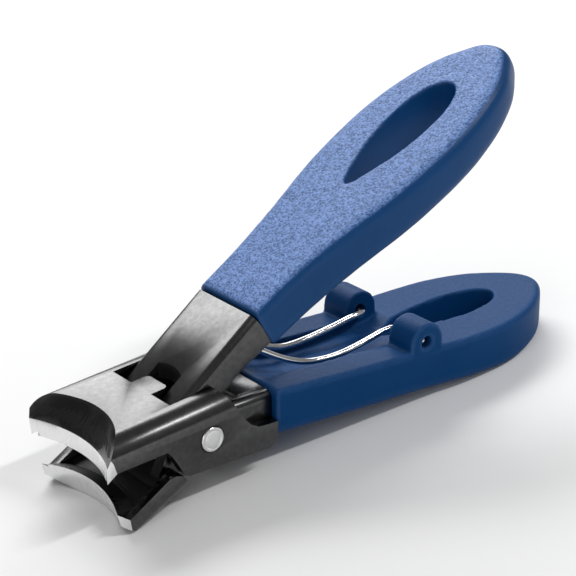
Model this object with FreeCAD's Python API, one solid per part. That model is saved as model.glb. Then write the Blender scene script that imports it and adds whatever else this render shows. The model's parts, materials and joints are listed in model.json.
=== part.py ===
import FreeCAD, Part
import math
import os

# Pliers-type nail clipper, sprung open. Millimetres.
# The pieces are drawn around the pivot: X runs back towards the handles, Y across, Z up.
# stand() then leans the clipper back so that it rests on the lower jaw and the lower grip.

V = FreeCAD.Vector

# head
head_half = 9.75          # half of the width over the cheeks
sheet = 1.6               # thickness of the folded steel
bend = 2.9                # outer radius of the folds along the head
plate_z = 5.44            # height of the top plate above the pivot line
plate_slope = 0.09        # rise of the top plate towards the handles
edge_z = -1.70            # height of the upper cutting edge
band_z = 0.61             # top of the ground band on the upper blade
tip_x = -15.96            # corner of the cutting edge
blade_r = 20.5            # hollow radius of both blades
blade_x = -34.35          # centre of that radius
blade_wall = 2.3          # thickness of the wall behind the blade
tongue_half = 2.3
slot_half = 6.55
slot_front = -4.49
tongue_rear = -1.67
bite_gap = 0.06           # space left between the edges when closed

# pivot
pin_r = 1.75
pin_hold = 0.01
pin_run = 0.05
open_angle = 17.5

# lever
lever_half = 6.35
lever_sheet = 1.8
lever_slope = 37.8
lever_z = 6.3             # height of the lever plate over the pivot
prong_gap = 2.62          # half of the gap between the prongs
notch_rear = 0.65

# grips
grip_front = 11.0
grip_length = 55.7        # lower grip
upper_length = 55.1
upper_front = (9.6, 13.95)
upper_slope = 30.0
upper_thick = 6.5
hole_half = 3.8
ear_x, ear_z, ear_r = 37.1, 3.45, 2.85
ear_in, ear_out = 4.8, 9.8

# spring
wire_r = 0.47

# stance
stance = 4.492            # backward lean in degrees
land_x, land_z = 55.0, -4.22   # front of the flat that the lower grip rests on
pivot_x, pivot_y, pivot_z = -25.314, 0.0, 8.515

deg = math.pi / 180.0


def xz(points, y0, y1):
    """Side outline, pushed across from y0 to y1."""
    wire = Part.makePolygon([V(x, y0, z) for x, z in points] + [V(points[0][0], y0, points[0][1])])
    return Part.Face(wire).extrude(V(0, y1 - y0, 0))


def xy(points, z0, z1):
    """Plan outline, pushed up from z0 to z1."""
    wire = Part.makePolygon([V(x, y, z0) for x, y in points] + [V(points[0][0], points[0][1], z0)])
    return Part.Face(wire).extrude(V(0, 0, z1 - z0))


def box(x0, x1, y0, y1, z0, z1):
    return Part.makeBox(x1 - x0, y1 - y0, z1 - z0, V(x0, y0, z0))


def both(shape):
    """The shape and its mirror image across the middle plane."""
    return shape.fuse(shape.mirror(V(0, 0, 0), V(0, 1, 0)))


def across(r, half, x=0.0, z=0.0):
    """Round bar across the head."""
    return Part.makeCylinder(r, 2 * half, V(x, -half, z), V(0, 1, 0))


def round_edges(shape, radius, wanted):
    edges = [e for e in shape.Edges if wanted(e)]
    return shape.makeFillet(radius, edges) if edges else shape


def middle(e):
    return e.valueAt((e.FirstParameter + e.LastParameter) / 2.0)


def swing(shape, angle):
    """Turn about the pivot; a positive angle brings the handles down."""
    turned = shape.copy()
    turned.rotate(V(0, 0, 0), V(0, 1, 0), angle)
    return turned


def top_z(x):
    return plate_z + plate_slope * x


def disc(x, r, z):
    return Part.Wire(Part.makeCircle(r, V(x, 0, z), V(0, 0, 1)))


def blade_hollow(z0, z1):
    """The round space in front of both blades."""
    return Part.makeCylinder(blade_r, z1 - z0, V(blade_x, 0, z0), V(0, 0, 1))


def leaning_hollow():
    """Above the ground band the front leans back and its radius gets smaller."""
    high = 6.6
    shift = (high - band_z) / 3.59
    return Part.makeLoft(
        [disc(blade_x, blade_r, band_z), disc(blade_x + 8.22 * shift, blade_r - 5.8 * shift, high)],
        True,
        True,
    )


def corner_facet(near_tip, low, high):
    """Wedge that grinds off one outer corner of a blade: through three points, taking the outside."""
    a, b, c = V(*near_tip), V(*low), V(*high)
    n = (b - a).cross(c - a)
    n.normalize()
    if n.y > 0:
        n = n * -1
    plane = Part.makePlane(12, 12, a, n)
    centre = plane.CenterOfMass
    plane.translate(a - centre)
    return both(plane.extrude(n * 3))


def upper_jaw():
    rear_top = 2.3
    outline = [
        (-19, edge_z), (-19, top_z(-19)), (rear_top, top_z(rear_top)), (3.1, 4.75), (3.85, 3.55),
        (4.65, 2.25), (5.25, 1.3), (6.3, 0.2), (7.5, -0.45), (9.0, -0.6), (10.75, -0.6),
        (10.75, -2.9), (10.3, -3.7), (9.3, -4.18), (-3.7, -4.18), (-4.5, -3.75), (-5.4, -2.2),
        (-6.3, -0.7), (-7.1, 0.26), (-9.0, 0.2), (-9.2, edge_z),
    ]
    body = xz(outline, -head_half, head_half)
    long_top = lambda e: abs(abs(middle(e).y) - head_half) < 1e-3 and e.Length > 15 and middle(e).z > 4
    body = round_edges(body, bend, long_top)
    inner = head_half - sheet
    under = lambda x: top_z(x) - sheet - 0.1
    cavity = xz([(-18, -9), (-18, under(-18)), (14, under(14)), (14, -9)], -inner, inner)
    inner_long = lambda e: abs(abs(middle(e).y) - inner) < 1e-3 and e.Length > 15 and middle(e).z > 2
    cavity = round_edges(cavity, bend - sheet, inner_long)
    back = Part.makeCylinder(blade_r + blade_wall, 30, V(blade_x, 0, -12), V(0, 0, 1))
    body = body.cut(cavity.cut(back))
    bevel = Part.makeCone(blade_r + 0.05, blade_r + blade_wall + 0.6, 2.2, V(blade_x, 0, edge_z), V(0, 0, 1))
    ring = box(-20, -9.0, -head_half, head_half, edge_z - 1, edge_z + 2.2).cut(bevel)
    ring = ring.cut(box(-20, -9.0, -head_half, head_half, edge_z + 2.2, 9))
    body = body.cut(ring.common(box(-20, -9.0, -inner - 0.3, inner + 0.3, -9, 9)))
    relief = xz([(tip_x - 0.1, edge_z - 0.14), (-14.9, -0.2), (-7.1, 0.26), (-7.1, -6), (tip_x, -6)], inner, 12)
    body = body.cut(both(relief))
    body = body.cut(blade_hollow(edge_z - 1, band_z)).cut(leaning_hollow())
    body = body.cut(corner_facet((tip_x, -9.06, edge_z), (-14.9, -head_half, -0.21), (-15.42, -head_half, 1.37)))
    opening = box(slot_front, 12, -slot_half, slot_half, -9, 9)
    tongue = box(slot_front - 1, tongue_rear, -tongue_half, tongue_half, -9, 9)
    body = body.cut(opening.cut(round_edges(tongue, 0.8, lambda e: e.Length > 17 and middle(e).x > -2)))
    ring = Part.makeCone(pin_r + 0.22, pin_r, 0.22, V(0, -head_half, 0), V(0, 1, 0))
    return body.cut(across(pin_r + pin_hold, 12)).cut(both(ring))


def lower_jaw():
    """Lower blade, drawn in its closed place."""
    z0 = edge_z - bite_gap
    outline = [
        (-19, z0), (-19, -3.57), (-16.0, -3.57), (-15.3, -4.5), (-14.4, -5.3), (-13.2, -5.69),
        (-6.2, -4.35), (-5.5, -4.0), (-5.3, -3.4), (-5.6, -2.3), (-6.6, -1.6), (-7.6, -1.4),
        (-9.2, -1.78), (-9.4, z0),
    ]
    body = xz(outline, -head_half, head_half)
    long_low = lambda e: abs(abs(middle(e).y) - head_half) < 1e-3 and e.Length > 6.5 and middle(e).z < -4
    body = round_edges(body, 1.3, long_low)
    inner = head_half - sheet
    floor = [(-18, -6.6 + 1.75), (-13.2, -5.69 + 1.7), (-5.0, -4.1 + 1.7), (-5.0, 3), (-18, 3)]
    cavity = xz(floor, -inner, inner)
    back = Part.makeCylinder(blade_r + blade_wall, 30, V(blade_x, 0, -12), V(0, 0, 1))
    body = body.cut(cavity.cut(back))
    bevel = Part.makeCone(blade_r + blade_wall + 0.6, blade_r + 0.05, 2.0, V(blade_x, 0, z0 - 2.0), V(0, 0, 1))
    ring = box(-20, -9.0, -head_half, head_half, z0 - 2.0, z0 + 1).cut(bevel)
    body = body.cut(ring.common(box(-20, -9.0, -inner - 0.3, inner + 0.3, -9, 9)))
    relief = xz([(tip_x - 0.1, z0 + 0.12), (-14.8, -3.13), (-7.6, -1.4), (-7.6, 3), (tip_x, 3)], inner, 12)
    body = body.cut(both(relief))
    body = body.cut(blade_hollow(-12, 3))
    low, high = (-14.8, -head_half, -3.13), (-15.0, -head_half, -4.6)
    return body.cut(corner_facet((tip_x, -9.06, z0), low, high))


def along_lever(s, depth):
    """Point s along the lever plate's upper face and depth below it."""
    a = lever_slope * deg
    return (s * math.cos(a) + depth * math.sin(a), lever_z + s * math.sin(a) - depth * math.cos(a))


def lever():
    walls_in = lever_half - lever_sheet
    plate = [along_lever(-5.2, 0), along_lever(11.9, 0), along_lever(11.9, 5.2), along_lever(6.0, 4.3)]
    plate += [(4.2, 4.2), (3.3, 2.0), (0.0, 0.0), (-3.4, 1.2)]
    body = xz(plate, -lever_half, lever_half)
    top = lambda e: abs(abs(middle(e).y) - lever_half) < 1e-3 and e.Length > 15
    body = round_edges(body, 1.0, top)
    hollow = [along_lever(-7.0, lever_sheet), along_lever(13.0, lever_sheet), along_lever(13.0, 9.0), (4, -6), (-9, -6)]
    body = body.cut(xz(hollow, -walls_in, walls_in))
    notch = box(-9, 2, -prong_gap, prong_gap, -9, 30)
    crown = Part.makeCylinder(7.9, 39, V(notch_rear - 7.9, 0, -9), V(0, 0, 1))
    body = body.cut(notch.common(crown)).cut(in_upper_grip(box(0, 8, -8, 8, -9, 3)))
    root = swing(xz([(-9.6, -4.9), (-5.2, -4.2), (-2.2, -2.9), (2.5, -2.4), (2.5, 2.2), (-2.0, 2.9), (-6.4, -1.6)],
                    walls_in, lever_half), -open_angle)
    boss = Part.makeCylinder(3.6, lever_half - walls_in, V(0, walls_in, 0), V(0, 1, 0))
    body = body.fuse(both(root)).fuse(both(boss))
    body = body.fuse(swing(lower_jaw(), -open_angle))
    body = body.fuse(hidden_tang())
    return body.cut(across(pin_r + pin_run, 12)).removeSplitter()


def in_upper_grip(shape):
    """From the grip's own frame (X along it, Z off its top face) to the open handle."""
    placed = shape.copy()
    placed.rotate(V(0, 0, 0), V(0, 1, 0), -upper_slope)
    placed.translate(V(upper_front[0], 0, upper_front[1]))
    return placed


def hidden_tang():
    """The lever's tongue inside the upper grip."""
    return in_upper_grip(box(-2.0, 17.0, -4.3, 4.3, -3.1, -1.3))


def lower_tang():
    """Folded box between the cheeks, with a flat tongue running into the lower grip."""
    outer = head_half - sheet - 0.03
    inner = outer - 1.5
    side = [(-2.9, -3.95), (-3.3, 0.0), (-2.2, 2.3), (2.4, 2.5), (3.2, 3.05), (grip_front, 3.05), (grip_front, -3.95)]
    shape = both(xz(side, inner, outer))
    shape = shape.fuse(box(6.6, grip_front, -outer, outer, 1.55, 3.05))
    shape = shape.fuse(box(4.6, grip_front, -outer, outer, -3.95, -2.45))
    shoulder = lambda e: abs(abs(middle(e).y) - outer) < 1e-3 and abs(middle(e).z - 3.05) < 1e-3 and e.Length > 3
    shape = round_edges(shape.removeSplitter(), 1.2, shoulder)
    shape = shape.cut(both(box(6.0, 12, 6.2, 6.35, 2.75, 4)))
    shape = shape.fuse(box(grip_front - 0.6, 30, -5.4, 5.4, -2.6, -0.9))
    shape = shape.fuse(box(grip_front - 0.9, grip_front, -outer, outer, -3.95, 1.6))
    return shape.cut(across(pin_r + pin_hold, 12)).removeSplitter()


def smooth_plan(points, length, z0, z1):
    """Plan outline with a flat front, smooth sides and a rounded tip."""
    side = Part.BSplineCurve()
    side.interpolate(Points=[V(x, -y, z0) for x, y in points] + [V(length, 0, z0)],
                     InitialTangent=V(1, 0, 0), FinalTangent=V(0, 1, 0))
    near = side.toShape()
    far = near.mirror(V(0, 0, 0), V(0, 1, 0))
    width = points[0][1]
    front = Part.LineSegment(V(0, width, z0), V(0, -width, z0)).toShape()
    face = Part.Face(Part.Wire(Part.__sortEdges__([near, far, front])))
    return face.extrude(V(0, 0, z1 - z0))


def teardrop(front, half, z0, z1, draft=1.0):
    """Teardrop hole, pointed towards the jaws; draft is the size at its lower end over that at its upper end."""
    rows = [(0.0, 0.0), (1.2, 0.25), (3.2, 0.46), (6.4, 0.73), (10.0, 0.92), (13.5, 1.0), (17.0, 0.95), (19.8, 0.75),
            (21.6, 0.46)]
    ends = []
    for z, k in ((z0, draft), (z1, 1.0)):
        x0 = front + 13.0 * (1.0 - k)
        near = [V(x0 + x * k, -half * w * k, z) for x, w in rows]
        far = [V(x0 + x * k, half * w * k, z) for x, w in reversed(rows)]
        curve = Part.BSplineCurve()
        curve.interpolate(near + [V(x0 + 22.5 * k, 0, z)] + far)
        ends.append(Part.Wire([curve.toShape()]))
    return Part.makeLoft(ends, True, True)


def side_slab(top, low, land=None):
    """Slab between an upper and a lower line; a land is a straight run at the rear of the lower line."""
    a = Part.BSplineCurve()
    a.interpolate([V(x, -14, z) for x, z in top])
    edges = [a.toShape()]
    b = Part.BSplineCurve()
    line = [V(x, -14, z) for x, z in low]
    if land:
        along = V(land[0] - low[-1][0], 0, land[1] - low[-1][1])
        first = line[1] - line[0]
        b.interpolate(Points=line, InitialTangent=first.normalize(), FinalTangent=along.normalize())
        line.append(V(land[0], -14, land[1]))
        edges.append(Part.LineSegment(line[-2], line[-1]).toShape())
    else:
        b.interpolate(line)
    edges.append(b.toShape())
    edges.append(Part.LineSegment(line[0], V(top[0][0], -14, top[0][1])).toShape())
    edges.append(Part.LineSegment(V(top[-1][0], -14, top[-1][1]), line[-1]).toShape())
    return Part.Face(Part.Wire(Part.__sortEdges__(edges))).extrude(V(0, 28, 0))


def rim(shape, radius, z_low, z_high):
    """Round the long outer edges that lie between two heights."""
    edges = [e for e in shape.Edges if z_low < middle(e).z < z_high and e.Length > 10]
    return shape.makeFillet(radius, edges)


def upper_grip():
    thick = upper_thick
    widths = [(0, 6.6), (4, 6.64), (8.6, 6.9), (12.8, 7.45), (17, 8.2), (20, 8.85), (23, 9.45), (26, 9.9), (29.5, 10.2),
              (33, 10.35), (37, 10.25), (40.7, 9.75), (44.7, 8.8), (47.8, 7.65), (50.5, 6.15), (52.6, 4.4)]
    plan = smooth_plan(widths, upper_length, -12, 6)
    top = [(-1, 0.0), (12, 0.32), (30, 0.22), (45, -0.05), (58, -0.6)]
    low = [(-1, -thick), (12, -thick), (30, -thick + 0.1), (45, -thick + 0.4), (58, -thick + 1.5)]
    body = plan.common(side_slab(top, low))
    body = rim(body, 1.25, -1.5, 1.5)
    body = rim(body, 1.4, -8, -3.5)
    body = body.cut(teardrop(23.2, hole_half + 0.1, -thick - 1.0, 1.0, 0.80))
    return in_upper_grip(body).cut(hidden_tang())


def ear():
    """Lug for the spring's end, round on top, standing on the edge of the grip."""
    post = box(ear_x - ear_r, ear_x + ear_r, ear_in, ear_out, 0.8, ear_z)
    return post.fuse(Part.makeCylinder(ear_r, ear_out - ear_in, V(ear_x, ear_in, ear_z), V(0, 1, 0))).removeSplitter()


def lower_grip():
    widths = [(0, 9.35), (4, 9.45), (8.6, 9.6), (14, 9.72), (20, 9.78), (26, 9.86), (30, 10.05), (33, 10.35), (37, 10.35),
              (41, 10.1), (45, 9.25), (48, 8.1), (50.8, 6.5), (53.3, 4.4)]
    plan = smooth_plan(widths, grip_length, -12, 8)
    top = [(-1, 3.55), (10, 3.05), (20, 2.6), (30, 2.3), (40, 2.35), (50, 2.75), (58, 3.0)]
    low = [(-1, -3.2), (10, -3.55), (20, -3.85), (28, -4.1), (38, -4.27), (land_x - grip_front, land_z)]
    land = (58.0, land_z + (58.0 + grip_front - land_x) * math.tan(stance * deg))
    body = plan.common(side_slab(top, low, land))
    body = rim(body, 0.7, 1.5, 4.5)
    body = rim(body, 1.3, -6, -2)
    body.translate(V(grip_front, 0, 0))
    floor = [(10, 3.7), (12.5, 3.25), (15, 2.35), (18, 1.55), (22, 1.1), (27, 0.95), (33, 1.0), (38, 1.5), (41.5, 2.6), (41.5, 9), (10, 9)]
    trough = xz(floor, -ear_in, ear_in)
    body = body.cut(trough)
    body = body.cut(teardrop(grip_front + 25.0, 3.5, -5.5, 4.0, 0.88))
    body = body.fuse(both(ear())).removeSplitter()
    body = body.cut(across(0.95, 12, ear_x, ear_z))
    return body.cut(box(grip_front - 1, 30, -5.4, 5.4, -2.6, -0.9))


def wire_half():
    """One leg of the spring, from inside the ear to under the lever: place and direction of each bend."""
    return [
        ((ear_x, 9.0, ear_z), (0, -1, 0)), ((ear_x, 5.0, ear_z), (0, -1, 0)), ((35.6, 3.4, 3.78), (-1, -0.1, -0.05)),
        ((31.0, 3.4, 3.07), (-1, 0.03, -0.17)), ((25.0, 3.4, 2.42), (-1, -0.06, -0.02)),
        ((19.8, 2.98, 3.05), (-1, -0.07, 0.32)), ((14.5, 2.7, 5.65), (-1, -0.03, 0.62)),
        ((11.0, 2.6, 7.85), (-1, -0.02, 0.66)), ((8.6, 0, 9.4), (0, -1, 0)),
    ]


def two_arcs(p, p_dir, q, q_dir):
    """Two arcs that run smoothly from p to q, or a straight line where both directions agree."""
    v, t = q - p, p_dir + q_dir
    a = 2.0 * (1.0 - p_dir.dot(q_dir))
    if a < 1e-7 and abs(v.Length - v.dot(p_dir)) < 1e-6:
        return [Part.LineSegment(p, q).toShape()]
    vt = v.dot(t)
    d = (math.sqrt(vt * vt + a * v.dot(v)) - vt) / a if a > 1e-7 else v.dot(v) / (4.0 * v.dot(p_dir))
    meet = (p + p_dir * d + q - q_dir * d) * 0.5
    return [one_arc(p, p_dir, meet), one_arc(q, q_dir * -1, meet)]


def one_arc(p, p_dir, q):
    """Arc from p to q that leaves p in the given direction."""
    chord = q - p
    along = chord.dot(p_dir) / chord.Length
    bow = p_dir * chord.Length - chord * along
    if bow.Length < 1e-5:
        return Part.LineSegment(p, q).toShape()
    rise = math.tan(math.acos(min(1.0, along)) / 2.0) * chord.Length / 2.0
    side = p_dir - chord * (p_dir.dot(chord) / chord.dot(chord))
    return Part.Arc(p, (p + q) * 0.5 + side.normalize() * rise, q).toShape()


def spring_wire():
    leg = [(V(*p), V(*d).normalize()) for p, d in wire_half()]
    edges = []
    for (p, p_dir), (q, q_dir) in zip(leg, leg[1:]):
        edges += two_arcs(p, p_dir, q, q_dir)
    half = Part.Wire(Part.__sortEdges__(edges))
    profile = Part.Face(Part.Wire(Part.makeCircle(wire_r, leg[0][0], leg[0][1])))
    return both(half.makePipe(profile)).removeSplitter()


def pivot_rivet():
    pin = across(pin_r, head_half + 0.12)
    return pin.makeChamfer(0.2, [e for e in pin.Edges if abs(abs(middle(e).y) - head_half - 0.12) < 1e-3 and e.Length > 5])


def stand(shape):
    placed = shape.copy()
    placed.rotate(V(0, 0, 0), V(0, 1, 0), stance)
    placed.translate(V(pivot_x, pivot_y, pivot_z))
    return placed


os.makedirs("parts", exist_ok=True)
pieces = {
    "upper_jaw": upper_jaw,
    "lower_tang": lower_tang,
    "pivot_rivet": pivot_rivet,
    "lower_jaw_lever": lever,
    "upper_grip": upper_grip,
    "lower_grip": lower_grip,
    "spring_wire": spring_wire,
}
for name, make in pieces.items():
    shape = stand(make())
    if len(shape.Solids) == 1:
        shape = shape.Solids[0]
    print(name, shape.ShapeType, len(shape.Solids), shape.isValid(), round(shape.Volume, 1))
    shape.exportStep("parts/%s.step" % name)
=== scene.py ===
import json
import math

import bmesh
import bpy
import numpy as np
from mathutils import Matrix, Vector


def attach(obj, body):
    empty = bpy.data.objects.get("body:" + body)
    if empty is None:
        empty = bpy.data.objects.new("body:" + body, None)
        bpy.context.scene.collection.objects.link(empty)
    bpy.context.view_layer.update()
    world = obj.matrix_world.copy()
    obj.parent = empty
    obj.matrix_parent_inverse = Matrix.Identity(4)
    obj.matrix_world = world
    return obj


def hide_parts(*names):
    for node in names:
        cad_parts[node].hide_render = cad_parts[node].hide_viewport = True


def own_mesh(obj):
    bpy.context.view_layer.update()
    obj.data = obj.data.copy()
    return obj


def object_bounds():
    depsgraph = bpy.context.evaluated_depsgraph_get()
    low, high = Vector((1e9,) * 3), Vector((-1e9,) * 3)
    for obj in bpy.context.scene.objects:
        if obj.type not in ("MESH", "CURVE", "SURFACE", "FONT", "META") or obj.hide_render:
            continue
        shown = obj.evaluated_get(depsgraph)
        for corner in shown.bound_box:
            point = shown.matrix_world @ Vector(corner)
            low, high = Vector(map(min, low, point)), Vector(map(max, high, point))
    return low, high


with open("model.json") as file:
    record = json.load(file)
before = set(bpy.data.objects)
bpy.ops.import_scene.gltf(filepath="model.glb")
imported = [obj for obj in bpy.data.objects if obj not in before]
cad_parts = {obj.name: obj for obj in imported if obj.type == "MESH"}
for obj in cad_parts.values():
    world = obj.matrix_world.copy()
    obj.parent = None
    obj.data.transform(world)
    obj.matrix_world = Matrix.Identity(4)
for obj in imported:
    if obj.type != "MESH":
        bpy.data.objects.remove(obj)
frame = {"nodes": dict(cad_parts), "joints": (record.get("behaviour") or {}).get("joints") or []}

mm = 0.001
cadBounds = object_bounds()
print("frame loaded")

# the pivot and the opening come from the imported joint
pivot = Vector(frame["joints"][0]["pos_m"])
openAngle = math.radians(frame["joints"][0]["range_deg"][1])
lean = math.radians(4.492)  # how far the head tips as the clipper stands
gripSlope = math.radians(30.0) - lean  # slope of the upper grip's back as it stands
weldDistance = 0.0000005


def toHead(p):
    # from the standing clipper to the head's own axes, in mm: origin on the pivot, x back along the top plate
    q = Matrix.Rotation(-lean, 3, "Y") @ (Vector(p) - pivot)
    return q / mm


def toClosedJaw(p):
    # the same, with the lower jaw turned up to meet the upper one
    return Matrix.Rotation(openAngle, 3, "Y") @ toHead(p)


def newTree(name, sockets):
    group = bpy.data.node_groups.new(name, "ShaderNodeTree")
    for label, direction, kind, start in sockets:
        socket = group.interface.new_socket(name=label, in_out=direction, socket_type=kind)
        if start is not None:
            socket.default_value = start
    nodes = group.nodes
    return group, nodes, group.links, nodes.new("NodeGroupInput"), nodes.new("NodeGroupOutput")


def mathNode(nodes, links, operation, a, b, clamp=False):
    node = nodes.new("ShaderNodeMath")
    node.operation = operation
    node.use_clamp = clamp
    for slotIndex, value in enumerate((a, b)):
        if isinstance(value, (int, float)):
            node.inputs[slotIndex].default_value = value
        else:
            links.new(value, node.inputs[slotIndex])
    return node.outputs[0]


def noiseNode(nodes, links, vector, scale, detail, rough=0.5):
    node = nodes.new("ShaderNodeTexNoise")
    node.inputs["Detail"].default_value = detail
    node.inputs["Roughness"].default_value = rough
    if isinstance(scale, (int, float)):
        node.inputs["Scale"].default_value = scale
    else:
        links.new(scale, node.inputs["Scale"])
    links.new(vector, node.inputs["Vector"])
    return node.outputs["Fac"]


grainLook = {"lumpScale": 0.36, "lumpHeight": 0.5, "pitScale": 0.8, "pitHeight": 0.45,
             "middle": 0.95, "contrast": 2.4}


def sparkGrainGroup():
    # pebbled skin that spark erosion leaves on a mould: fine pits with softer lumps under them
    group, nodes, links, given, out = newTree("sparkGrain", [
        ("Scale", "INPUT", "NodeSocketFloat", 2600.0), ("Amount", "INPUT", "NodeSocketFloat", 1.0),
        ("Height", "OUTPUT", "NodeSocketFloat", None), ("Speckle", "OUTPUT", "NodeSocketFloat", None)])
    place = nodes.new("ShaderNodeTexCoord").outputs["Object"]
    scale = given.outputs["Scale"]
    fine = noiseNode(nodes, links, place, scale, detail=3.0, rough=0.62)
    lumpScale = mathNode(nodes, links, "MULTIPLY", scale, grainLook["lumpScale"])
    lumps = noiseNode(nodes, links, place, lumpScale, detail=1.5)
    pits = nodes.new("ShaderNodeTexVoronoi")
    links.new(place, pits.inputs["Vector"])
    links.new(mathNode(nodes, links, "MULTIPLY", scale, grainLook["pitScale"]), pits.inputs["Scale"])
    lumps = mathNode(nodes, links, "MULTIPLY", lumps, grainLook["lumpHeight"])
    pitDepth = mathNode(nodes, links, "MULTIPLY", pits.outputs["Distance"], grainLook["pitHeight"])
    skin = mathNode(nodes, links, "ADD", mathNode(nodes, links, "ADD", fine, lumps), pitDepth)
    links.new(mathNode(nodes, links, "MULTIPLY", skin, given.outputs["Amount"]), out.inputs["Height"])
    centred = mathNode(nodes, links, "SUBTRACT", skin, grainLook["middle"])
    centred = mathNode(nodes, links, "MULTIPLY", centred, grainLook["contrast"])
    speckle = mathNode(nodes, links, "MULTIPLY", centred, given.outputs["Amount"])
    links.new(mathNode(nodes, links, "ADD", speckle, 0.5, clamp=True), out.inputs["Speckle"])
    return group


def edgeWearGroup():
    # handled edges: reads the edge attribute written on the piece and breaks it up
    group, nodes, links, given, out = newTree("edgeWear", [
        ("Amount", "INPUT", "NodeSocketFloat", 1.0), ("Scale", "INPUT", "NodeSocketFloat", 900.0),
        ("Mask", "OUTPUT", "NodeSocketFloat", None)])
    edge = nodes.new("ShaderNodeAttribute")
    edge.attribute_name = "edge"
    place = nodes.new("ShaderNodeTexCoord").outputs["Object"]
    broken = noiseNode(nodes, links, place, given.outputs["Scale"], detail=4.0, rough=0.6)
    lifted = mathNode(nodes, links, "ADD", broken, 0.2)  # some wear shows even between the patches
    worn = mathNode(nodes, links, "MULTIPLY", edge.outputs["Fac"], lifted)
    worn = mathNode(nodes, links, "MULTIPLY", worn, given.outputs["Amount"], clamp=True)
    links.new(worn, out.inputs["Mask"])
    return group


def handlingGroup():
    # faint smears and dust that change the gloss over a few millimetres
    group, nodes, links, given, out = newTree("handling", [
        ("Scale", "INPUT", "NodeSocketFloat", 160.0), ("Low", "INPUT", "NodeSocketFloat", 0.2),
        ("High", "INPUT", "NodeSocketFloat", 0.3), ("Roughness", "OUTPUT", "NodeSocketFloat", None),
        ("Cloud", "OUTPUT", "NodeSocketFloat", None)])
    place = nodes.new("ShaderNodeTexCoord").outputs["Object"]
    cloud = noiseNode(nodes, links, place, given.outputs["Scale"], detail=5.0, rough=0.58)
    spread = mathNode(nodes, links, "SUBTRACT", given.outputs["High"], given.outputs["Low"])
    aboveLow = mathNode(nodes, links, "MULTIPLY", cloud, spread)
    rough = mathNode(nodes, links, "ADD", aboveLow, given.outputs["Low"])
    links.new(rough, out.inputs["Roughness"])
    links.new(cloud, out.inputs["Cloud"])
    return group


def brushedGroup():
    # fine lines left by grinding or rolling, drawn out along one direction
    group, nodes, links, given, out = newTree("brushedLines", [
        ("Along", "INPUT", "NodeSocketVector", (60.0, 4000.0, 4000.0)),
        ("Height", "OUTPUT", "NodeSocketFloat", None)])
    place = nodes.new("ShaderNodeTexCoord").outputs["Object"]
    stretch = nodes.new("ShaderNodeVectorMath")
    stretch.operation = "MULTIPLY"
    links.new(place, stretch.inputs[0])
    links.new(given.outputs["Along"], stretch.inputs[1])
    streaks = noiseNode(nodes, links, stretch.outputs[0], 1.0, detail=3.0, rough=0.6)
    links.new(streaks, out.inputs["Height"])
    return group


groups = {"grainAndSheen": sparkGrainGroup(), "wear": edgeWearGroup(),
          "handling": handlingGroup(), "brushed": brushedGroup()}


def addGroup(material, kind, **values):
    node = material.node_tree.nodes.new("ShaderNodeGroup")
    node.node_tree = groups[kind]
    for label, value in values.items():
        node.inputs[label].default_value = value
    return node


def startMaterial(name):
    material = bpy.data.materials.new(name)
    material.use_nodes = True
    tree = material.node_tree
    return material, tree.nodes, tree.links, tree.nodes["Principled BSDF"]


def mixColour(nodes, links, factor, a, b):
    node = nodes.new("ShaderNodeMix")
    node.data_type = "RGBA"
    for value, name in ((factor, "Factor"), (a, "A"), (b, "B")):
        socket = [s for s in node.inputs if s.name == name and s.enabled][0]
        if hasattr(value, "is_output"):
            links.new(value, socket)
        else:
            socket.default_value = (*value, 1.0)
    return [s for s in node.outputs if s.enabled][0]


def addBump(nodes, links, shader, height, strength, distance):
    bump = nodes.new("ShaderNodeBump")
    bump.inputs["Strength"].default_value = strength
    bump.inputs["Distance"].default_value = distance
    links.new(height, bump.inputs["Height"])
    links.new(bump.outputs["Normal"], shader.inputs["Normal"])


bluePlastic = {"colour": (0.0015, 0.043, 0.15), "bright": (0.0025, 0.057, 0.19), "paleSheenAndWear": (0.2, 0.34, 0.72),
               "grainScale": 3400.0, "paintedSheenLeast": 0.16, "paintedSheenSpread": 0.8, "wearShown": 0.3,
               "grainRougher": 0.1, "grainLeast": 0.1, "grainSpread": 0.9, "bump": 0.55}
upperPlasticLook = {"name": "blueGrainedPlastic", "depth": 1.0, "grainDepth": 0.00018,
                    "low": 0.32, "high": 0.4, "gloss": 0.17}
lowerPlasticLook = {"name": "blueSatinPlastic", "depth": 0.92, "grainDepth": 0.0001,
                    "low": 0.4, "high": 0.5, "gloss": 0.06}


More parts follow.
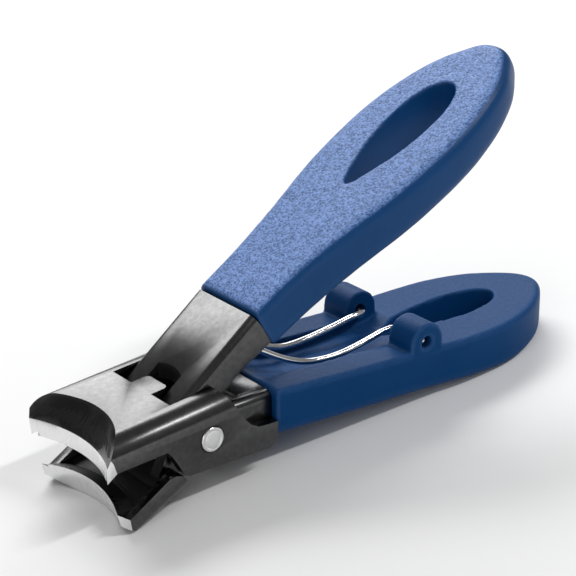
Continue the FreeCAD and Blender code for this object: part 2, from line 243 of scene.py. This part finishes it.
def plasticMaterial(settings):
    # blue moulded plastic: satin walls, and spark-eroded grain where the piece's grain attribute is set;
    # there a pale tint, speckled by the grain, is also laid on as painted sheen, so the top faces look lit
    # from above
    look = bluePlastic
    material, nodes, links, shader = startMaterial(settings["name"])
    grainAndSheenMask = nodes.new("ShaderNodeAttribute")
    grainAndSheenMask.attribute_name = "grainAndSheen"
    grainAndSheen = addGroup(material, "grainAndSheen", Scale=look["grainScale"], Amount=1.0)
    wear = addGroup(material, "wear", Amount=0.5, Scale=700.0)
    smear = addGroup(material, "handling", Scale=140.0, Low=settings["low"], High=settings["high"])
    dark = [channel * settings["depth"] for channel in look["colour"]]
    bright = [channel * settings["depth"] for channel in look["bright"]]
    tone = mixColour(nodes, links, smear.outputs["Cloud"], dark, bright)
    # painted sheen: a pale tint, speckled by the grain, mixed into the colour where the grain attribute is
    # set
    sheenAmount = mathNode(nodes, links, "MULTIPLY", grainAndSheen.outputs["Speckle"], look["paintedSheenSpread"])
    sheenAmount = mathNode(nodes, links, "ADD", sheenAmount, look["paintedSheenLeast"])
    paintedSheen = mathNode(nodes, links, "MULTIPLY", sheenAmount, grainAndSheenMask.outputs["Fac"], clamp=True)
    tone = mixColour(nodes, links, paintedSheen, tone, look["paleSheenAndWear"])
    # the same pale tint also marks real wear on rubbed edges
    rubbed = mathNode(nodes, links, "MULTIPLY", wear.outputs["Mask"], look["wearShown"])
    tone = mixColour(nodes, links, rubbed, tone, look["paleSheenAndWear"])
    links.new(tone, shader.inputs["Base Color"])
    rougher = mathNode(nodes, links, "MULTIPLY", grainAndSheenMask.outputs["Fac"], look["grainRougher"])
    links.new(mathNode(nodes, links, "ADD", smear.outputs["Roughness"], rougher), shader.inputs["Roughness"])
    grained = mathNode(nodes, links, "MULTIPLY", grainAndSheenMask.outputs["Fac"], look["grainSpread"])
    grained = mathNode(nodes, links, "ADD", grained, look["grainLeast"])
    height = mathNode(nodes, links, "MULTIPLY", grainAndSheen.outputs["Height"], grained)
    addBump(nodes, links, shader, height, strength=look["bump"], distance=settings["grainDepth"])
    shader.inputs["IOR"].default_value = 1.5
    shader.inputs["Specular IOR Level"].default_value = settings["gloss"]
    return material


def plateMaterial():
    # black nickel over folded steel sheet
    material, nodes, links, shader = startMaterial("blackNickel")
    smear = addGroup(material, "handling", Scale=110.0, Low=0.2, High=0.31)
    wear = addGroup(material, "wear", Amount=0.9, Scale=1300.0)
    lines = addGroup(material, "brushed", Along=(90.0, 2600.0, 2600.0))
    tone = mixColour(nodes, links, smear.outputs["Cloud"], (0.037, 0.037, 0.037), (0.046, 0.046, 0.046))
    tone = mixColour(nodes, links, wear.outputs["Mask"], tone, (0.2, 0.2, 0.2))
    links.new(tone, shader.inputs["Base Color"])
    shader.inputs["Metallic"].default_value = 1.0
    links.new(smear.outputs["Roughness"], shader.inputs["Roughness"])
    addBump(nodes, links, shader, lines.outputs["Height"], strength=0.05, distance=0.00004)
    return material


def paintedShadeMaterial():
    # painted shade: a darker, duller copy of the plating for the faces inside the folds, where shade falls
    material, nodes, links, shader = startMaterial("paintedShadeInside")
    smear = addGroup(material, "handling", Scale=150.0, Low=0.42, High=0.6)
    tone = mixColour(nodes, links, smear.outputs["Cloud"], (0.012, 0.012, 0.012), (0.024, 0.024, 0.024))
    links.new(tone, shader.inputs["Base Color"])
    shader.inputs["Metallic"].default_value = 0.7
    links.new(smear.outputs["Roughness"], shader.inputs["Roughness"])
    return material


def groundMaterial():
    # bare steel ground on a wheel: bright, with fine lines across the edge
    material, nodes, links, shader = startMaterial("groundSteel")
    smear = addGroup(material, "handling", Scale=300.0, Low=0.2, High=0.32)
    lines = addGroup(material, "brushed", Along=(3000.0, 3000.0, 120.0))
    tone = mixColour(nodes, links, lines.outputs["Height"], (0.7, 0.7, 0.71), (0.95, 0.95, 0.95))
    links.new(tone, shader.inputs["Base Color"])
    shader.inputs["Metallic"].default_value = 0.8
    links.new(smear.outputs["Roughness"], shader.inputs["Roughness"])
    addBump(nodes, links, shader, lines.outputs["Height"], strength=0.12, distance=0.00003)
    return material


def rivetMaterial():
    # turned bright steel
    material, nodes, links, shader = startMaterial("turnedSteel")
    smear = addGroup(material, "handling", Scale=500.0, Low=0.16, High=0.3)
    wear = addGroup(material, "wear", Amount=0.6, Scale=2500.0)
    tone = mixColour(nodes, links, smear.outputs["Cloud"], (0.82, 0.82, 0.82), (0.95, 0.95, 0.94))
    tone = mixColour(nodes, links, wear.outputs["Mask"], tone, (0.3, 0.3, 0.3))
    links.new(tone, shader.inputs["Base Color"])
    shader.inputs["Metallic"].default_value = 1.0
    links.new(smear.outputs["Roughness"], shader.inputs["Roughness"])
    return material


def wireMaterial():
    # nickel-plated spring wire with fine drawn lines
    material, nodes, links, shader = startMaterial("nickelWire")
    smear = addGroup(material, "handling", Scale=220.0, Low=0.06, High=0.16)
    lines = addGroup(material, "brushed", Along=(80.0, 5000.0, 5000.0))
    tone = mixColour(nodes, links, smear.outputs["Cloud"], (0.6, 0.6, 0.61), (0.85, 0.85, 0.85))
    links.new(tone, shader.inputs["Base Color"])
    shader.inputs["Metallic"].default_value = 1.0
    links.new(smear.outputs["Roughness"], shader.inputs["Roughness"])
    addBump(nodes, links, shader, lines.outputs["Height"], strength=0.05, distance=0.00002)
    return material


materials = {
    "upperPlastic": plasticMaterial(upperPlasticLook),
    "lowerPlastic": plasticMaterial(lowerPlasticLook),
    "plate": plateMaterial(),
    "paintedShade": paintedShadeMaterial(),
    "ground": groundMaterial(),
    "rivet": rivetMaterial(),
    "wire": wireMaterial(),
}
print("materials ready")


def mergedCopy(nodeName, name):
    # a working copy of a CAD piece with its loose triangles joined up
    mesh = frame["nodes"][nodeName].data.copy()
    mesh.name = name
    mesh.materials.clear()
    bm = bmesh.new()
    bm.from_mesh(mesh)
    bmesh.ops.remove_doubles(bm, verts=bm.verts, dist=weldDistance)
    bmesh.ops.dissolve_degenerate(bm, edges=bm.edges, dist=weldDistance)
    bm.to_mesh(mesh)
    bm.free()
    for layer in list(mesh.uv_layers):
        mesh.uv_layers.remove(layer)
    piece = bpy.data.objects.new(name, mesh)
    bpy.context.scene.collection.objects.link(piece)
    return piece


def bake(piece):
    # the modifiers' result becomes the mesh
    bpy.context.view_layer.update()
    graph = bpy.context.evaluated_depsgraph_get()
    mesh = bpy.data.meshes.new_from_object(piece.evaluated_get(graph), depsgraph=graph)
    piece.modifiers.clear()
    piece.data = mesh
    return mesh


def writeAttribute(mesh, name, values):
    attribute = mesh.attributes.get(name) or mesh.attributes.new(name, "FLOAT", "POINT")
    attribute.data.foreach_set("value", np.asarray(values, np.float32))


def edgeValues(mesh, sharpest):
    # 1 on the sharp edges, 0 on flats
    bm = bmesh.new()
    bm.from_mesh(mesh)
    values = np.zeros(len(bm.verts), np.float32)
    for edge in bm.edges:
        if len(edge.link_faces) == 2 and edge.is_convex:
            turn = min(1.0, edge.calc_face_angle(0.0) / sharpest)
            for vertex in edge.verts:
                values[vertex.index] = max(values[vertex.index], turn)
    bm.free()
    return values


sheetSteel = {"bevelFrom": 32.0, "bevelSegments": 2, "sharpFrom": 38.0, "edgeTurn": 45.0}


def steelPiece(nodeName, body, settings):
    # crisp sheet-metal piece; its shortest edges hold the bevel to far less than the width asked for
    piece = mergedCopy(nodeName, settings["name"])
    bm = bmesh.new()
    bm.from_mesh(piece.data)
    flat = math.radians(settings["flat"])
    bmesh.ops.dissolve_limit(bm, angle_limit=flat, verts=bm.verts, edges=bm.edges, delimit={"NORMAL"})
    for face in bm.faces:
        face.material_index = settings["pick"](face)
    bm.to_mesh(piece.data)
    bm.free()
    for finish in settings["finishes"]:
        piece.data.materials.append(materials[finish])
    bevel = piece.modifiers.new("brokenEdge", "BEVEL")
    bevel.width = settings["edge"] * mm
    bevel.segments = sheetSteel["bevelSegments"]
    bevel.limit_method = "ANGLE"
    bevel.angle_limit = math.radians(sheetSteel["bevelFrom"])
    bevel.use_clamp_overlap = True
    mesh = bake(piece)
    for polygon in mesh.polygons:
        polygon.use_smooth = True
    mesh.set_sharp_from_angle(angle=math.radians(sheetSteel["sharpFrom"]))
    writeAttribute(mesh, "edge", edgeValues(mesh, math.radians(sheetSteel["edgeTurn"])))
    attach(piece, body)
    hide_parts(nodeName)
    print(settings["name"], len(mesh.polygons), "faces")


# the blades in the head's own axes, in mm: both are hollow, ground to one radius about one upright line
blade = {"radius": 20.5, "centre": -34.35, "slack": 0.12, "bandTop": 0.61, "edge": -1.70,
         "facetFrom": -14.2, "facetMatch": 0.985, "bevelFrom": -9.2, "bevelRise": 2.1, "bevelDepth": 3.0,
         "lowerFrontFrom": -12.5}
headInside = {"halfWidth": 8.2, "bladeHalfWidth": 8.4, "roof": 3.85, "roofSlope": 0.09, "behindBand": 0.5}
jawInside = {"from": -5.0, "floor": -5.2}
leverInside = {"halfWidth": 4.6, "roof": 6.3, "roofSlope": 0.776, "plate": 0.6}
# the third finish is painted shade, for the faces inside the folds
plateIndex, groundIndex, paintedShadeIndex = range(3)


def facetNormal(corner, low, high):
    # outward direction of the ground corner on the near side, from three of its points
    n = (Vector(low) - Vector(corner)).cross(Vector(high) - Vector(corner)).normalized()
    return n if n.y < 0 else -n


upperFacet = facetNormal((-15.96, -9.06, -1.70), (-14.9, -9.75, -0.21), (-15.42, -9.75, 1.37))
lowerFacet = facetNormal((-15.96, -9.06, -1.76), (-14.8, -9.75, -3.13), (-15.0, -9.75, -4.6))


def onFacet(normal, p, facet):
    mirrored = Vector((normal.x, -abs(normal.y), normal.z))
    return mirrored.dot(facet) > blade["facetMatch"] and p.x < blade["facetFrom"]


def pickUpperJaw(face):
    # ground band, ground corners and the bevel under the edge; the folded head's inside, which gets the
    # painted shade; the rest is plate
    p = toHead(face.calc_center_median())
    normal = Matrix.Rotation(-lean, 3, "Y") @ face.normal
    out = math.hypot(p.x - blade["centre"], p.y)
    onBand = p.z < blade["bandTop"] + 0.02 and abs(out - blade["radius"]) < blade["slack"]
    bevel = (p.x < blade["bevelFrom"] and p.z < blade["edge"] + blade["bevelRise"] and normal.z < -0.3
             and out < blade["radius"] + blade["bevelDepth"] and abs(p.y) < headInside["bladeHalfWidth"])
    if onBand or onFacet(normal, p, upperFacet) or bevel:
        return groundIndex
    underRoof = p.z < headInside["roof"] + headInside["roofSlope"] * p.x
    hidden = (abs(p.y) < headInside["halfWidth"] and underRoof
              and out > blade["radius"] + headInside["behindBand"])
    return paintedShadeIndex if hidden else plateIndex


def pickLowerJaw(face):
    # the same for the lower jaw, looked at as if it were closed, and the lever plate's underside; the jaw's
    # inside and that underside get the painted shade
    p = toClosedJaw(face.calc_center_median())
    normal = Matrix.Rotation(openAngle - lean, 3, "Y") @ face.normal
    out = math.hypot(p.x - blade["centre"], p.y)
    onFront = p.x < blade["lowerFrontFrom"] and abs(out - blade["radius"]) < blade["slack"]
    if onFront or onFacet(normal, p, lowerFacet):
        return groundIndex
    insideJaw = (p.x < jawInside["from"] and abs(p.y) < headInside["halfWidth"] and p.z > jawInside["floor"]
                 and out > blade["radius"] + headInside["behindBand"])
    q = toHead(face.calc_center_median())
    leverRoof = leverInside["roof"] + leverInside["roofSlope"] * q.x - leverInside["plate"]
    insideLever = abs(q.y) < leverInside["halfWidth"] and q.z < leverRoof
    return paintedShadeIndex if insideJaw or insideLever else plateIndex


def pickPlate(face):
    return plateIndex


upperJawLook = {"name": "upperJaw", "flat": 0.4, "edge": 0.11, "pick": pickUpperJaw,
                "finishes": ("plate", "ground", "paintedShade")}
leverLook = {"name": "lowerJawLever", "flat": 0.4, "edge": 0.11, "pick": pickLowerJaw,
             "finishes": ("plate", "ground", "paintedShade")}
tangLook = {"name": "lowerTang", "flat": 0.4, "edge": 0.12, "pick": pickPlate, "finishes": ("plate",)}

# radius and distance from the middle, in mm, from the centre of one end out to its rim
rivetLook = {"name": "pivotRivet", "steps": 96, "sharpFrom": 50.0, "edgeTurn": 45.0, "head": (
    (0.0, 9.84), (0.5, 9.842), (1.0, 9.835), (1.14, 9.82), (1.2, 9.79), (1.26, 9.79), (1.32, 9.825),
    (1.42, 9.855), (1.54, 9.865), (1.64, 9.85), (1.71, 9.8), (1.75, 9.7))}


def rivetPiece(settings):
    # turned pin whose two ends show in the cheeks: a shallow groove and a rounded rim
    bm = bmesh.new()
    steps = settings["steps"]
    profile = list(settings["head"]) + [(r, -y) for r, y in reversed(settings["head"])]
    turns = [2 * math.pi * k / steps for k in range(steps)]
    rings = []
    for r, y in profile:
        if r == 0.0:
            rings.append([bm.verts.new(pivot + Vector((0, y * mm, 0)))])
            continue
        places = [Vector((r * math.cos(t), y, r * math.sin(t))) * mm for t in turns]
        rings.append([bm.verts.new(pivot + place) for place in places])
    for first, second in zip(rings, rings[1:]):
        for k in range(steps):
            n = (k + 1) % steps
            corners = [first[k % len(first)], first[n % len(first)]]
            corners += [second[n % len(second)], second[k % len(second)]]
            bm.faces.new(list(dict.fromkeys(corners)))  # a ring of one point gives triangles
    bmesh.ops.recalc_face_normals(bm, faces=bm.faces)
    mesh = bpy.data.meshes.new(settings["name"])
    bm.to_mesh(mesh)
    bm.free()
    mesh.materials.append(materials["rivet"])
    for polygon in mesh.polygons:
        polygon.use_smooth = True
    mesh.set_sharp_from_angle(angle=math.radians(settings["sharpFrom"]))
    writeAttribute(mesh, "edge", edgeValues(mesh, math.radians(settings["edgeTurn"])))
    piece = bpy.data.objects.new(settings["name"], mesh)
    bpy.context.scene.collection.objects.link(piece)
    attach(piece, "frame")
    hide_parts("pivot_rivet")
    print(settings["name"], len(mesh.polygons), "faces")


steelPiece("upper_jaw", "frame", upperJawLook)
steelPiece("lower_tang", "frame", tangLook)
rivetPiece(rivetLook)
steelPiece("lower_jaw_lever", "lever", leverLook)
print("steel ready")


tipLook = {"growth": 0.7, "holeClear": 1.15, "holeFade": 0.3, "steps": 10, "factor": 0.5}


def softenTip(piece, settings):
    # the outer edges get rounder towards the tip; the hole's own edges stay crisp
    points = np.zeros(len(piece.data.vertices) * 3, np.float32)
    piece.data.vertices.foreach_get("co", points)
    points = points.reshape(-1, 3) / mm
    front, rear = points[:, 0].min(), points[:, 0].max()
    along = (points[:, 0] - front) / (rear - front)
    towardsTip = np.clip((along - settings["softFrom"]) / (1 - settings["softFrom"]), 0, 1)
    hole = settings["hole"]
    acrossHole = np.hypot((along - hole[0]) / hole[1], points[:, 1] / hole[2])
    outside = np.clip((acrossHole - tipLook["holeClear"]) / tipLook["holeFade"], 0, 1)
    weights = towardsTip ** tipLook["growth"] * outside
    group = piece.vertex_groups.new(name="soft")
    steps = tipLook["steps"]
    for step in range(1, steps + 1):
        chosen = np.nonzero(np.round(weights * steps).astype(int) == step)[0]
        if len(chosen):
            group.add(chosen.tolist(), step / steps, "REPLACE")
    soften = piece.modifiers.new("soften", "SMOOTH")
    soften.factor = tipLook["factor"]
    soften.iterations = settings["soft"]
    soften.vertex_group = "soft"
    bake(piece)


mouldLook = {"factor": 0.5, "grainFrom": 0.72, "grainFade": 0.2, "edgeTurn": 30.0}


def mouldedGrip(nodeName, body, settings):
    # plastic moulding: an even skin over the CAD shape, with its edges eased as plastic leaves a mould
    piece = mergedCopy(nodeName, settings["name"])
    remesh = piece.modifiers.new("skin", "REMESH")
    remesh.mode = "VOXEL"
    remesh.voxel_size = settings["skin"] * mm
    remesh.adaptivity = 0.0
    ease = piece.modifiers.new("ease", "SMOOTH")
    ease.factor = mouldLook["factor"]
    ease.iterations = settings["ease"]
    bake(piece)
    softenTip(piece, settings)
    mesh = piece.data
    for polygon in mesh.polygons:
        polygon.use_smooth = True
    # the grain attribute marks the faces turned towards grainTowards: they get the real grain and also the
    # painted sheen
    normals = np.zeros(len(mesh.vertices) * 3, np.float32)
    mesh.vertices.foreach_get("normal", normals)
    facing = normals.reshape(-1, 3) @ np.array(settings["grainTowards"])
    grained = np.clip((facing - mouldLook["grainFrom"]) / mouldLook["grainFade"], 0, 1)
    writeAttribute(mesh, "grainAndSheen", grained * settings["grainAndSheen"])
    writeAttribute(mesh, "edge", edgeValues(mesh, math.radians(mouldLook["edgeTurn"])))
    mesh.materials.clear()
    mesh.materials.append(materials[settings["finish"]])
    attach(piece, body)
    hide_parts(nodeName)
    print(settings["name"], len(mesh.polygons), "faces")


# grain: how strongly those faces get the grain and the painted sheen
# hole: its centre and half length as parts of the grip's length, and its half width in mm
upperGripLook = {"name": "upperGrip", "skin": 0.24, "ease": 3, "finish": "upperPlastic", "grainAndSheen": 1.0,
                 "softFrom": 0.2, "soft": 190, "hole": (0.66, 0.2, 3.8),
                 "grainTowards": (-math.sin(gripSlope), 0.0, math.cos(gripSlope))}
lowerGripLook = {"name": "lowerGrip", "skin": 0.24, "ease": 2, "finish": "lowerPlastic", "grainAndSheen": 0.08,
                 "softFrom": 0.68, "soft": 30, "hole": (0.65, 0.2, 3.45),
                 "grainTowards": (0.0, 0.0, 1.0)}

mouldedGrip("upper_grip", "lever", upperGripLook)
mouldedGrip("lower_grip", "frame", lowerGripLook)
print("grips ready")

springLook = {"name": "springWire", "sharpFrom": 50.0, "earFromPivot": (37.1, 3.45),
              "press": (-0.25, 0.968), "keep": 0.69}


def springPiece(settings):
    # the wire with its ends in the lugs and its loop under the lever: a smooth-shaded copy of the CAD wire
    # that rides with the frame
    piece = mergedCopy("spring_wire", settings["name"])
    for polygon in piece.data.polygons:
        polygon.use_smooth = True
    piece.data.set_sharp_from_angle(angle=math.radians(settings["sharpFrom"]))
    piece.data.materials.append(materials["wire"])
    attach(piece, "frame")
    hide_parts("spring_wire")
    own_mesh(piece)


springPiece(springLook)
print("spring ready")


floorLook = {"half": 3.0, "tone": 0.93, "roughness": 0.9}


def makeFloor(settings):
    mesh = bpy.data.meshes.new("floor")
    half = settings["half"]
    corners = [(-half, -half, 0), (half, -half, 0), (half, half, 0), (-half, half, 0)]
    mesh.from_pydata(corners, [], [(0, 1, 2, 3)])
    floor = bpy.data.objects.new("floor", mesh)
    bpy.context.scene.collection.objects.link(floor)
    material = startMaterial("paleFloor")[0]
    shader = material.node_tree.nodes["Principled BSDF"]
    shader.inputs["Base Color"].default_value = (settings["tone"], settings["tone"], settings["tone"], 1)
    shader.inputs["Roughness"].default_value = settings["roughness"]
    mesh.materials.append(material)


softLights = (
    {"name": "lowBackPanel", "towards": (0.48, 0.75, 0.46), "away": 0.75,
     "size": (0.60, 0.24), "radiance": 4.8},
    {"name": "highBackPanel", "towards": (0.17, 0.70, 0.70), "away": 0.75,
     "size": (0.60, 0.20), "radiance": 8.0},
    {"name": "foldStrip", "towards": (0.47, -0.47, 0.75), "away": 0.6,
     "size": (0.26, 0.03), "radiance": 50.0, "alongFolds": True},
    {"name": "leftPanel", "towards": (-0.85, -0.40, 0.34), "away": 0.8,
     "size": (0.5, 0.4), "radiance": 2.2},
)
roomLook = {"light": 0.24, "backdrop": 0.86}


def makeLights(centre):
    for settings in softLights:
        data = bpy.data.lights.new(settings["name"], "AREA")
        data.shape = "RECTANGLE"
        data.size, data.size_y = settings["size"]
        data.energy = settings["radiance"] * math.pi * data.size * data.size_y
        lamp = bpy.data.objects.new(settings["name"], data)
        back = Vector(settings["towards"]).normalized()
        along = Vector((0, 0, 1)).cross(back).normalized()
        if settings.get("alongFolds"):
            along = (Vector((1, 0, 0)) - back * back.x).normalized()  # the strip lies along the head's folds
        turn = Matrix((along, back.cross(along), back)).transposed().to_4x4()
        lamp.matrix_world = Matrix.Translation(centre + back * settings["away"]) @ turn
        bpy.context.scene.collection.objects.link(lamp)


def makeRoom(settings):
    # the far backdrop shows pale but lights the room softly
    world = bpy.data.worlds.new("studio")
    world.use_nodes = True
    shade = world.node_tree.nodes["Background"]
    shade.inputs["Color"].default_value = (1, 1, 1, 1)
    rays = world.node_tree.nodes.new("ShaderNodeLightPath")
    level = world.node_tree.nodes.new("ShaderNodeMapRange")
    level.inputs["To Min"].default_value = settings["light"]
    level.inputs["To Max"].default_value = settings["backdrop"]
    world.node_tree.links.new(rays.outputs["Is Camera Ray"], level.inputs["Value"])
    world.node_tree.links.new(level.outputs["Result"], shade.inputs["Strength"])
    bpy.context.scene.world = world


cameraLook = {"place": (-0.15798, -0.20759, 0.14301), "azimuth": -36.51, "elevation": 25.50,
              "roll": -3.92, "lens": 131.25, "sensor": 36.0}


def makeCamera(settings):
    data = bpy.data.cameras.new("camera")
    data.sensor_width = settings["sensor"]
    data.lens = settings["lens"]
    data.clip_start = 0.01
    data.clip_end = 20.0
    camera = bpy.data.objects.new("camera", data)
    a, e = math.radians(settings["azimuth"]), math.radians(settings["elevation"])
    back = Vector((math.sin(a) * math.cos(e), -math.cos(a) * math.cos(e), math.sin(e)))
    roll = Matrix.Rotation(math.radians(settings["roll"]), 3, "Z").to_quaternion()
    camera.rotation_mode = "QUATERNION"
    camera.rotation_quaternion = (-back).to_track_quat("-Z", "Y") @ roll
    camera.location = Vector(settings["place"])
    bpy.context.scene.collection.objects.link(camera)
    bpy.context.scene.camera = camera


makeFloor(floorLook)
makeLights((cadBounds[0] + cadBounds[1]) / 2)
makeRoom(roomLook)
makeCamera(cameraLook)
bpy.context.scene.view_settings.view_transform = "Standard"
print("stage ready")
